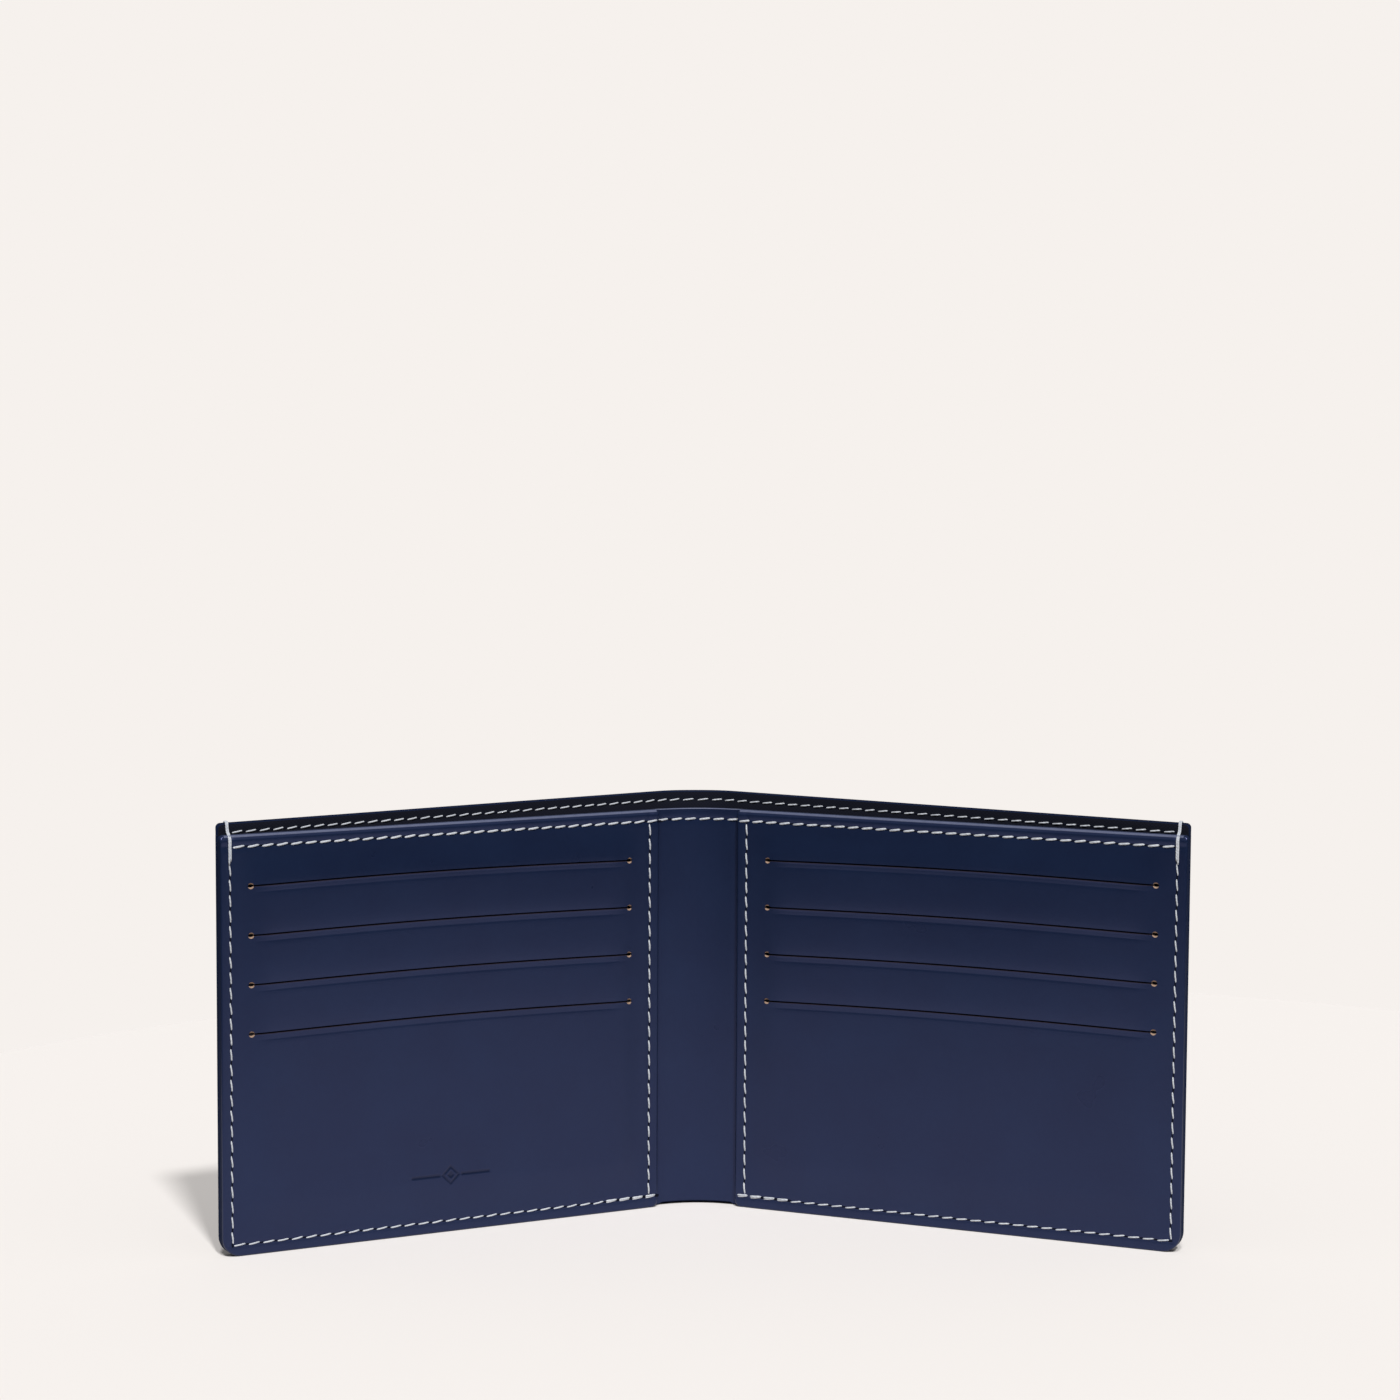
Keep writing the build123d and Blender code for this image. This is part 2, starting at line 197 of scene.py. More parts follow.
def sheet(name, side, grid, surface, front, back, trim, corners, materials, warp=None, slits=None):
    """A closed sheet of leather or cloth between two depths, with a shaped edge.

    Grid is its columns and rows. Trim is (width, rounded in front, rounded behind). Corners are
    the radii of the outer bottom, outer top, inner bottom and inner top corner, with None for the
    inner two where the sheet stops at the middle of the spine. Materials follow FRONT to
    TOP_CREST, or stop at EDGE. Warp moves the rows. Slits are (rows, span of columns, and which
    places are punched).
    """
    columns, rows = grid
    width, round_front, round_back = trim
    open_inner = corners[2] is None
    radii = [max(r - width, 0.05) if r else 0.05 for r in corners]
    along, height = np.meshgrid(np.array(columns, float), np.array(rows, float))
    near = np.clip((along - columns[-1] + CORNER_SPAN) / CORNER_SPAN, 0, 1)
    placed = along - rounding(height, rows[0], rows[-1], radii[0], radii[1]) * near
    if not open_inner:
        near = np.clip((columns[0] + CORNER_SPAN - along) / CORNER_SPAN, 0, 1)
        placed = placed + rounding(height, rows[0], rows[-1], radii[2], radii[3]) * near
    behind = warp(placed, height, True) if warp else height
    height = warp(placed, height, False) if warp else height
    front_depth, back_depth = front(placed, height), back(placed, behind)
    points = [surface(placed, height, front_depth), surface(placed, behind, back_depth)]
    points = [side_points.reshape(-1, 3) for side_points in points]

    row_count, column_count = along.shape
    size = row_count * column_count
    loop = [(0, i) for i in range(column_count)]
    loop += [(j, column_count - 1) for j in range(1, row_count)]
    loop += [(row_count - 1, i) for i in range(column_count - 2, -1, -1)]
    loop += [(j, 0) for j in range(row_count - 2, 0, -1)]
    ways = rim_ways(loop, placed, columns, rows, radii, open_inner)
    rim = np.array([j * column_count + i for j, i in loop])
    start_a, start_h = placed.reshape(-1)[rim], height.reshape(-1)[rim]
    start_front, start_back = front_depth.reshape(-1)[rim], back_depth.reshape(-1)[rim]
    share = min(0.5, width / float(np.mean(start_front - start_back)))
    rings = [rim]
    for number, (offset, fraction) in enumerate(edge_profile(share, round_front, round_back)):
        depth = start_front + (start_back - start_front) * fraction
        out = ways * width * offset
        points.append(surface(start_a + out[:, 0], start_h + out[:, 1], depth))
        first = 2 * size + number * len(rim)
        rings.append(np.arange(first, first + len(rim)))
    rings.append(rim + size)

    cut_rows, span, is_punched = slits or ([], (0, 0), None)
    cut = {(row, i) for row in cut_rows for i in range(*span)}
    faces, kinds = [], []
    for j in range(row_count - 1):
        for i in range(column_count - 1):
            if (j, i) not in cut:
                a = j * column_count + i
                quad = [a, a + 1, a + column_count + 1, a + column_count]
                faces += [quad, [v + size for v in quad[::-1]]]
                kinds += [FRONT, BACK]
    has_crest = len(materials) > CREST
    for number, (first, second) in enumerate(zip(rings, rings[1:])):
        for k in range(len(rim)):
            n = (k + 1) % len(rim)
            faces.append([first[k], second[k], second[n], first[n]])
            # The top crest gets its own material. On the panels and the divider that is a pale
            # painted highlight.
            crest = TOP_CREST if loop[k][0] == loop[n][0] == row_count - 1 else CREST
            kinds.append(crest if has_crest and number < len(EDGE_TURNS) else EDGE)
    for row in cut_rows:
        outline = [row * column_count + i for i in range(span[0], span[1] + 1)]
        outline += [(row + 1) * column_count + i for i in range(span[1], span[0] - 1, -1)]
        for v, w in zip(outline, outline[1:] + outline[:1]):
            faces.append([v, w, w + size, v + size])
            middle = (columns[v % column_count] + columns[w % column_count]) / 2
            kinds.append(HOLE_WALL if is_punched(middle) else SLIT_WALL)
    made = shaped(name, side, np.concatenate(points), faces, kinds, materials)
    made.data.set_sharp_from_angle(angle=math.radians(48))
    return made


def bend_with(piece):
    """Bakes the piece's placing into its mesh."""
    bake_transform(piece)


def ripple(along, height, seed, size):
    """A slow unevenness, as hide has that was pressed flat and has relaxed."""
    a = np.sin(along * 0.061 + seed * 1.7) * np.sin(height * 0.047 + seed * 2.3)
    b = np.sin(along * 0.113 - height * 0.079 + seed * 4.1)
    return size * (0.65 * a + 0.35 * b)


def seam_dip(distance, depth, spread=0.55):
    """How far the pull of a seam sinks the leather beside it."""
    return depth * np.exp(-((distance / spread) ** 2))


def shell_front(along, height):
    """The inner face, let in for the stiffener board."""
    out = along - SPINE_HALF
    across = np.minimum(out - STIFFENER_MARGIN, LEAF - STIFFENER_MARGIN - out)
    upright = np.minimum(height - STIFFENER_MARGIN, COVER_HEIGHT - STIFFENER_MARGIN - height)
    slope = 0.4  # width of the recess's sloping wall
    inside = np.clip(np.minimum(across, upright) + slope, 0, slope)
    return -LINING - GLUE - STIFFENER_RECESS * inside / slope


def shell_back(along, height):
    """The outer face, drawn in at its seams."""
    seams = seam_dip(height - COVER_SEAM, 0.1) + seam_dip(height - BOTTOM_SEAM, 0.1)
    seams = seams + seam_dip(along - OUTER_SEAM, 0.1)
    return -LINING - SHELL + seams + ripple(along, height, 3.0, 0.08)


def linear(hex_colour):
    """An sRGB hex colour as linear RGBA."""
    values = [int(hex_colour[i : i + 2], 16) / 255 for i in (1, 3, 5)]
    return [v / 12.92 if v <= 0.04045 else ((v + 0.055) / 1.055) ** 2.4 for v in values] + [1.0]


def node(tree, kind, inputs=None, **settings):
    """Adds a node. Settings are its own properties; inputs get a value or another's socket."""
    made = tree.nodes.new(kind)
    for name, value in settings.items():
        setattr(made, name, value)
    for key, value in (inputs or {}).items():
        if isinstance(value, bpy.types.NodeSocket):
            tree.links.new(value, made.inputs[key])
        else:
            made.inputs[key].default_value = value
    return made


def start_material(name):
    """An empty node material, its tree, and the place on the piece in metres."""
    material = bpy.data.materials.new(name)
    material.use_nodes = True
    material.node_tree.nodes.clear()
    spot = node(material.node_tree, "ShaderNodeTexCoord").outputs["Object"]
    return material, material.node_tree, spot


def end_material(tree, colour, relief, strength, look, depth=0.0001):
    """Joins colour, a relief of the given depth in metres, and the rest of the look."""
    bump = node(tree, "ShaderNodeBump", {"Height": relief, "Strength": strength, "Distance": depth})
    inputs = {"Base Color": colour, "Normal": bump.outputs["Normal"]} | look
    shader = node(tree, "ShaderNodeBsdfPrincipled", inputs)
    node(tree, "ShaderNodeOutputMaterial", {"Surface": shader.outputs[0]})


def leather(name, light, dark, roughness):
    """Full-grain calf, aniline dyed and lightly glazed: a deep, even blue with a soft sheen.

    Where the mesh says it is pressed, by a hot stamp, it is darker. This is partly the stamp's own
    darkening of the dye and partly painted shade in the pressed lines.
    """
    material, tree, spot = start_material(name)
    # The dye takes unevenly over patches of about 15 mm, and again over specks of about 1 mm.
    cloud = node(tree, "ShaderNodeTexNoise", {"Vector": spot, "Scale": 65.0, "Detail": 3.0})
    speck = node(tree, "ShaderNodeTexNoise", {"Vector": spot, "Scale": 900.0, "Detail": 2.0})
    uneven = {0: speck.outputs["Fac"], 1: 0.35, 2: cloud.outputs["Fac"]}
    uneven = node(tree, "ShaderNodeMath", uneven, operation="MULTIPLY_ADD")
    dye = node(tree, "ShaderNodeValToRGB", {"Fac": uneven.outputs[0]})
    for stop, (position, colour) in zip(dye.color_ramp.elements, ((0.45, dark), (0.9, light))):
        stop.position, stop.color = position, linear(colour)
    # Pressed lines go darker, partly from the hot stamp's own darkening and partly as painted
    # shade.
    pressed = node(tree, "ShaderNodeAttribute", attribute_name="pressed").outputs["Fac"]
    stamped = {"Factor": pressed, "A": dye.outputs["Color"], "B": linear("#0d1527")}
    stamped = node(tree, "ShaderNodeMix", stamped, data_type="RGBA")
    # Pores are 0.1 mm across in the real hide. They are drawn 0.35 mm apart so that they show.
    cells = {"Vector": spot, "Scale": 2800.0}
    pores = node(tree, "ShaderNodeTexVoronoi", cells, feature="DISTANCE_TO_EDGE")
    creases = node(tree, "ShaderNodeTexNoise", {"Vector": spot, "Scale": 420.0, "Detail": 4.0})
    relief = {0: creases.outputs["Fac"], 1: 0.6, 2: pores.outputs["Distance"]}
    relief = node(tree, "ShaderNodeMath", relief, operation="MULTIPLY_ADD")
    gloss = {"To Min": roughness - 0.015, "To Max": roughness + 0.015}
    gloss = node(tree, "ShaderNodeMapRange", gloss | {"Value": cloud.outputs["Fac"]})
    # The glaze over the dye tints what it mirrors, as bronzed navy leather does.
    look = {
        "Roughness": gloss.outputs["Result"],
        "IOR": 1.5,
        "Specular IOR Level": 0.62,
        "Specular Tint": linear("#b9beff"),
    }
    end_material(tree, stamped.outputs["Result"], relief.outputs[0], 0.16, look, 0.00008)
    return material


def mottled(name, colours, scale, detail, strength, roughness, look=None):
    """A painted, cut or torn surface, with two tones and a relief from one noise."""
    material, tree, spot = start_material(name)
    grain = node(tree, "ShaderNodeTexNoise", {"Vector": spot, "Scale": scale, "Detail": detail})
    tone = {"Factor": grain.outputs["Fac"], "A": linear(colours[0]), "B": linear(colours[1])}
    tone = node(tree, "ShaderNodeMix", tone, data_type="RGBA")
    look = {"Roughness": roughness} | (look or {})
    end_material(tree, tone.outputs["Result"], grain.outputs["Fac"], strength, look)
    return material


# The outside is handled most, and its glaze has dulled.
cover_calf = leather("navy_cover_calf_leather", "#162039", "#121b32", 0.4)
# Edge paint is pigmented acrylic, rolled onto the cut edges in a few coats and rubbed down matt.
# The roller's drag, about 2 mm long, keeps the edge from looking like plastic.
edge_paint = mottled(
    "navy_acrylic_edge_paint",
    ("#161f38", "#1b2540"),
    scale=500.0,
    detail=3.0,
    strength=0.25,
    roughness=0.65,
    look={"IOR": 1.49, "Specular IOR Level": 0.05},
)
COVER_TRIM = 0.3
COVER_CORNERS = (OUTER_CORNER, 1.0, None, None)
COVER_COLUMNS = steps((0, 10, 0.7), (10, REACH - 8, 2.5), (REACH - 8, REACH - 0.35, 0.8))
COVER_ROWS = corner_rows(COVER_TRIM, OUTER_CORNER - COVER_TRIM, True)[:-1]
COVER_ROWS += steps((OUTER_CORNER, 85, 2.4), (85, COVER_HEIGHT - 1.1, 0.6))
COVER_ROWS += corner_rows(COVER_HEIGHT - COVER_TRIM, 1.0 - COVER_TRIM, False)
for side in ("left", "right"):
    shell = sheet(
        f"cover_shell_leather_{side}",
        side,
        (COVER_COLUMNS, COVER_ROWS),
        cover_surface,
        shell_front,
        shell_back,
        (COVER_TRIM, False, True),
        COVER_CORNERS,
        [cover_calf, cover_calf, edge_paint],
    )
    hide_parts(f"cover_shell_{side}", "cover_shell_spine")
    bend_with(shell)

# ---------------------------------------------------------------------------------------------
# Stiffener boards: raw bonded leather board, glued into a recess of the shell on each leaf. They
# can't be seen, and keep their CAD shape. The board is brown-grey with short pressed fibres.
def dress(node_name, material):
    """Gives a CAD node its finish."""
    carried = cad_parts[node_name]
    carried.data.materials.clear()
    carried.data.materials.append(material)


board = mottled(
    "bonded_leather_board",
    ("#675847", "#8f7f6b"),
    scale=1500.0,
    detail=5.0,
    strength=0.4,
    roughness=0.85,
)
for side in ("left", "right"):
    dress(f"cover_stiffener_{side}", board)

# ---------------------------------------------------------------------------------------------
# Lining of the cover: a fine plain-weave cloth, 0.5 mm thick with its backing, glued over the
# whole shell. It is the back wall of the note pocket, nearly black in the pocket's shade.
def woven_cloth(name, light, dark, threads_per_metre):
    """Plain weave, whose warp and weft cross upright and level at the threads' real spacing."""
    material, tree, spot = start_material(name)
    split = node(tree, "ShaderNodeSeparateXYZ", {"Vector": spot})
    bands = []
    for axis in ("X", "Z"):
        phase = {0: split.outputs[axis], 1: threads_per_metre * math.pi}
        phase = node(tree, "ShaderNodeMath", phase, operation="MULTIPLY")
        bands.append(node(tree, "ShaderNodeMath", {0: phase.outputs[0]}, operation="SINE"))
    weave = {0: bands[0].outputs[0], 1: bands[1].outputs[0]}
    weave = node(tree, "ShaderNodeMath", weave, operation="MULTIPLY")
    level = {"Value": weave.outputs[0], "From Min": -1.0, "From Max": 1.0}
    level = node(tree, "ShaderNodeMapRange", level).outputs["Result"]
    tone = {"Factor": level, "A": linear(dark), "B": linear(light)}
    tone = node(tree, "ShaderNodeMix", tone, data_type="RGBA")
    look = {
        "Roughness": 0.8,
        "Specular IOR Level": 0.15,
        "Sheen Weight": 0.06,
        "Sheen Roughness": 0.5,
    }
    end_material(tree, tone.outputs["Result"], level, 0.3, look)
    return material


def lining_front(along, height):
    """The face that looks into the note pocket, drawn in at the cover's top seam."""
    return -seam_dip(height - COVER_SEAM, 0.1)


def lining_back(along, height):
    """The face that is glued to the shell."""
    return np.full_like(along, -LINING)


lining_cloth = woven_cloth("woven_lining_cloth", "#0f1222", "#090c18", 2600.0)
for side in ("left", "right"):
    lining = sheet(
        f"cover_lining_cloth_{side}",
        side,
        (COVER_COLUMNS, COVER_ROWS),
        cover_surface,
        lining_front,
        lining_back,
        (0.06, False, False),
        COVER_CORNERS,
        [lining_cloth, lining_cloth, edge_paint],
    )
    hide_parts(f"cover_lining_{side}", "cover_lining_spine")
    bend_with(lining)

# ---------------------------------------------------------------------------------------------
# Divider: one long piece of calf leather, 0.7 mm thick, the front wall of the note pocket. It
# shows as the plain strip between the two card panels, and it bends there with the spine. The
# strip's bottom edge is trimmed a little higher than the leaves, so it never drags.
DIVIDER_HEIGHT = 92.5
DIVIDER_TRIM = 0.2
SPINE_RAISE = 0.6
TOP_SEAM = DIVIDER_HEIGHT - 2.5


def divider_front(along, height):
    """The face towards the reader, creased a little where each panel begins."""
    bare = np.clip((SPINE_HALF + 1 - along) / 1.5, 0, 1)
    crease = seam_dip(along - SPINE_HALF - 1.1, 0.5, 1.2)
    relaxed = ripple(along, height, 1.0, 0.05) - seam_dip(height - TOP_SEAM, 0.1)
    return DIVIDER_SKIN - crease + relaxed * bare


def divider_back(along, height):
    """The face that looks into the note pocket."""
    return np.full_like(along, -DIVIDER_SKIN)


def ease(value):
    """0 to 1 with a soft start and end."""
    value = np.clip(value, 0, 1)
    return value * value * (3 - 2 * value)


def divider_warp(along, height, behind):
    """Lifts the bottom edge of the bare strip, alike in front and behind."""
    bare = ease((SPINE_HALF + 0.6 - along) / 1.2)
    return height + SPINE_RAISE * bare * np.clip(1 - height / 20, 0, 1)


# Inside, the glaze is fresher and mirrors more of the room.
calf = leather("navy_calf_leather", "#142039", "#121c34", 0.28)
# A paler paint along the top edges is a painted highlight for the light those edges catch. It is a
# little shiny too.
painted_highlight_paint = mottled(
    "painted_highlight_crest_edge_paint",
    ("#4c526c", "#5f657e"),
    scale=500.0,
    detail=3.0,
    strength=0.25,
    roughness=0.45,
    look={"IOR": 1.49, "Specular IOR Level": 0.3},
)
DIVIDER_COLUMNS = steps(
    (0, 7, 0.7), (7, 12, 0.35), (12, REACH - 8, 2.5), (REACH - 8, REACH - DIVIDER_TRIM, 0.8)
)
DIVIDER_ROWS = corner_rows(DIVIDER_TRIM, OUTER_CORNER - DIVIDER_TRIM, True)[:-1]
DIVIDER_ROWS += steps((OUTER_CORNER, 86, 2.4), (86, DIVIDER_HEIGHT - 1.1, 0.45))
DIVIDER_ROWS += corner_rows(DIVIDER_HEIGHT - DIVIDER_TRIM, 1.0 - DIVIDER_TRIM, False)
for side in ("left", "right"):
    divider = sheet(
        f"note_divider_leather_{side}",
        side,
        (DIVIDER_COLUMNS, DIVIDER_ROWS),
        divider_surface,
        divider_front,
        divider_back,
        (DIVIDER_TRIM, True, True),
        COVER_CORNERS,
        # The last material, on the top crest, is a pale painted highlight.
        [calf, calf, edge_paint, calf, calf, edge_paint, painted_highlight_paint],
        divider_warp,
    )
    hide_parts(f"note_divider_{side}", "note_divider_spine")
    bend_with(divider)

# ---------------------------------------------------------------------------------------------
# Card panels: one face of calf leather on each leaf, with four slits. Each slit is a knife cut
# between two punched holes, which stop the leather from tearing. The pouches behind make the
# face stand up from its border, which is sewn to the divider and the cover.
PANEL_START = SPINE_HALF + 1.2
PANEL_EDGE = 1.3  # thickness at the stitched border
PANEL_TRIM = 0.45
PANEL_RISE = 0.7  # how far the pouches push the face forward
FACE = 0.8  # thickness of the leather over the pouches
SKIVE = 1.15  # how far down the top edge is pared thin
INNER_SEAM = PANEL_START + 2.4
SLITS = [81.3, 70.47, 59.64, 48.81]
SLIT_START = SPINE_HALF + 9.0
SLIT_END = SLIT_START + 91.2
SLIT_HALF = 0.2
SLIT_TAPER = 0.5  # a slit is narrower behind by this share
SLIT_BOW = 0.6  # how far a slit bows up between its holes
SLIT_LIP = 0.3  # from a slit's middle to the next row
PUNCH = 0.68  # radius of a punched hole
STAMP = (SPINE_HALF + 53.5, 13.2)  # middle of the small pressed ornament on the left leaf
PULL = 0.13  # how far the panel sinks at a seam


def slit_line(along):
    """How far a slit has bowed up at each place."""
    share = np.clip((along - SLIT_START) / (SLIT_END - SLIT_START), 0, 1)
    return SLIT_BOW * np.sin(math.pi * share)


def slit_opening(along):
    """Half of the slit's height at each place: round at the punched holes, narrow between."""
    nearest = np.minimum((along - SLIT_START) ** 2, (along - SLIT_END) ** 2)
    hole = np.sqrt(np.maximum(PUNCH**2 - nearest, 0))
    cut = np.where((along > SLIT_START) & (along < SLIT_END), SLIT_HALF, 0.0)
    return np.maximum(np.maximum(hole, cut), 0.03)


def punched(along):
    """Whether the wall at this place belongs to a punched hole."""
    return min(abs(along - SLIT_START), abs(along - SLIT_END)) < 0.9 * PUNCH


def panel_columns(stamped):
    """Closest together at the seams, the punched holes and the ornament."""
    left, right = STAMP[0] - 9.6, STAMP[0] + 9.6
    found = steps(
        (PANEL_START + PANEL_TRIM, PANEL_START + 6.5, 0.45),
        (SLIT_START + 2, left, 1.5),
        (left, right, 0.2 if stamped else 1.5),
        (right, SLIT_END - 2, 1.5),
        (REACH - 5.2, REACH - PANEL_TRIM, 0.45),
    )
    hole = [PUNCH * share for share in (-1, -0.86, -0.5, 0, 0.5, 0.8, 0.94, 1.3)]
    return sorted(found + [SLIT_START + h for h in hole] + [SLIT_END - h for h in hole])


def panel_rows(stamped):
    """Closest together at the corners, the ornament and the slits."""
    low, high = STAMP[1] - 2.6, STAMP[1] + 2.6
    found = corner_rows(PANEL_TRIM, OUTER_CORNER - PANEL_TRIM, True)
    found += steps(
        (4.6, low, 0.9),
        (low, high, 0.2 if stamped else 1.3),
        (high, 44.5, 2.2),
        (85.6, DIVIDER_HEIGHT - 1.3, 0.45),
    )
    found += steps((DIVIDER_HEIGHT - SKIVE, DIVIDER_HEIGHT - PANEL_TRIM, 0.14))
    beside = [-4.2, -2.6, -1.8, -1.5, -1.35, -1.2, -0.98, -0.62, -0.4, 0.0]
    beside += [0.04, 0.4, 1.0, 1.5, 2.6, 4.2]
    return sorted(found + [slit + step for slit in SLITS for step in beside])


def panel_warp(along, height, behind):
    """Bows the rows beside each slit, and opens the slit itself between two rows."""
    taper = SLIT_TAPER if behind else 1.0
    warped = height.copy()
    for slit in SLITS:
        warped += slit_line(along) * ease(1 - np.abs(height - slit) / 5.0)
    for slit in SLITS:
        row = int(np.argmin(np.abs(height[:, 0] - slit)))
        middle = (warped[row] + warped[row + 1]) / 2
        opening = slit_opening(along[row])
        lip = np.maximum(opening + 0.08, SLIT_LIP)
        warped[row - 1], warped[row + 2] = middle - lip, middle + lip
        warped[row - 2] = np.minimum(warped[row - 2], warped[row - 1] - 0.13)
        warped[row], warped[row + 1] = middle - opening * taper, middle + opening * taper
    return warped


def panel_rise(along, height, spread):
    """0 at the stitched border and 1 over the pouches."""
    across = np.minimum(along - PANEL_START - 3.0, REACH - 2.8 - along) / spread
    upright = np.minimum(height - 3.2, DIVIDER_HEIGHT - 3.0 - height) / spread
    return ease(across) * ease(upright)


def ornament(along, height):
    """A lozenge between two short rules, pressed by a hot stamp. 1 inside its lines."""
    a, h = np.abs(along - STAMP[0]), np.abs(height - STAMP[1])
    ring = np.abs((a + h) - 1.9) / 1.41
    dot = (a + h - 0.5) / 1.41
    rule = np.maximum(np.abs(a - 6.0) - 3.2, h - 0.05)
    gap = np.minimum(np.minimum(ring, dot), rule)
    return 1 - ease((gap - 0.12) / 0.22)


def panel_front(side):
    """The outer face: raised over the pouches, drawn in at the seams, and lifted at each lip."""
    seed = {"left": 2.0, "right": 7.0}[side]

    def face(along, height):
        risen = panel_rise(along, height, 9.0)
        depth = DIVIDER_SKIN + PANEL_EDGE + PANEL_RISE * risen
        depth = depth - seam_dip(height - BOTTOM_SEAM, PULL) - seam_dip(height - TOP_SEAM, PULL)
        depth = depth - seam_dip(along - INNER_SEAM, PULL) - seam_dip(along - OUTER_SEAM, PULL)
        depth = depth - 0.34 * ease(height - DIVIDER_HEIGHT + SKIVE)
        inside = ease((along - SLIT_START) / 6) * ease((SLIT_END - along) / 6)
        for slit in SLITS:
            over = height - slit - slit_line(along)
            lip = np.where(over < 0, 0.16 * np.exp(over / 0.2), -0.14 * np.exp(-over / 1.6))
            depth = depth + (lip - seam_dip(over + 1.35, 0.04, 0.2)) * inside
        if side == "left":
            depth = depth - 0.12 * ornament(along, height)
        return depth + ripple(along, height, seed, 0.1) * risen

    return face


def panel_back(along, height):
    """The inner face. It touches the divider at the border and clears the pouches inside."""
    lift = PANEL_EDGE + PANEL_RISE - FACE
    return DIVIDER_SKIN + lift * panel_rise(along, height, 3.0)


# A punched hole shows the undyed core of the hide: tan, fibrous and dry.
tan_core = mottled(
    "raw_cut_leather",
    ("#785e4f", "#ad927d"),
    scale=2500.0,
    detail=3.0,
    strength=0.5,
    roughness=0.8,
)
# The knife cut's walls are coloured dark as painted shade inside the narrow slit, and the slit
# reads as a thin dark line.
painted_shade_cut = mottled(
    "painted_shade_cut_leather",
    ("#221e2c", "#332b38"),
    scale=500.0,
    detail=3.0,
    strength=0.25,
    roughness=0.6,
    look={"IOR": 1.49, "Specular IOR Level": 0.2},
)
for side in ("left", "right"):
    columns, rows = panel_columns(side == "left"), panel_rows(side == "left")
    span = (columns.index(SLIT_START - PUNCH), columns.index(SLIT_END + PUNCH))
    panel = sheet(
        f"card_panel_leather_{side}",
        side,
        (columns, rows),
        divider_surface,
        panel_front(side),
        panel_back,
        (PANEL_TRIM, True, False),
        (OUTER_CORNER, 1.0, 1.5, 0.6),
        # The last material, on the top crest, is a pale painted highlight.
        [calf, calf, edge_paint, painted_shade_cut, tan_core, calf, painted_highlight_paint],
        panel_warp,
        ([rows.index(slit) for slit in SLITS], span, punched),
    )
    if side == "left":
        # These marks darken the panel where it is pressed, partly as painted shade in the pressed
        # lines.
        marks = np.zeros(len(panel.data.vertices), np.float32)
        marks[: len(columns) * len(rows)] = ornament(*np.meshgrid(columns, rows)).reshape(-1)
        pressed = panel.data.attributes.new("pressed", "FLOAT", "POINT")
        pressed.data.foreach_set("value", marks)
    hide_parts(f"card_panel_{side}")
    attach(panel, f"{side}_leaf")

# ---------------------------------------------------------------------------------------------
# Card pouches: thin black lining cloth, folded at the bottom and glued above and below each
# slit. They keep their CAD shape. Only a trace of them shows, deep in the slits.
pouch_cloth = woven_cloth("thin_pouch_cloth", "#1a1b24", "#101118", 3600.0)
for side in ("left", "right"):
    for number in (1, 2, 3, 4):
        dress(f"card_pouch_{number}_{side}", pouch_cloth)

# ---------------------------------------------------------------------------------------------
# Cover seam: runs along the whole top of the cover, 2.1 mm down, through the shell and the
# lining. Like every seam it is bonded polyester thread, off-white, sewn by a lockstitch machine.
# It is sewn first, and its ends lie under the wrapped stitches at the outer corners.
PITCH = 3.3  # from needle hole to needle hole
STITCH = 2.5  # what shows of each stitch before its ends dip into their holes
THREAD_RADIUS = 0.24
HOLE_SIZE = (0.52, 0.2, 0.07)  # half of a needle hole's length, width and depth


def thread_material():
    """Two off-white plies, whose twist crosses the thread about every 0.5 mm."""
    material, tree, spot = start_material("bonded_polyester_thread")
    plies = {"Vector": spot, "Scale": 900.0, "Distortion": 1.5, "Detail": 1.0}
    plies = node(tree, "ShaderNodeTexWave", plies, bands_direction="DIAGONAL")
    shade = node(tree, "ShaderNodeTexNoise", {"Vector": spot, "Scale": 300.0, "Detail": 2.0})
    tone = {"Factor": shade.outputs["Fac"], "A": linear("#a6abb4"), "B": linear("#d2d5da")}
    tone = node(tree, "ShaderNodeMix", tone, data_type="RGBA")
    look = {"Roughness": 0.55, "Sheen Weight": 0.2}
    end_material(tree, tone.outputs["Result"], plies.outputs["Fac"], 0.5, look)
    return material


thread = thread_material()
# A needle hole is torn grain in shade: dry, nearly black, mottled over 0.3 mm.
needle_hole = mottled(
    "needle_hole_leather",
    ("#0a0c17", "#0f1322"),
    scale=3300.0,
    detail=2.0,
    strength=0.0,
    roughness=0.9,
    look={"Specular IOR Level": 0.1},
)


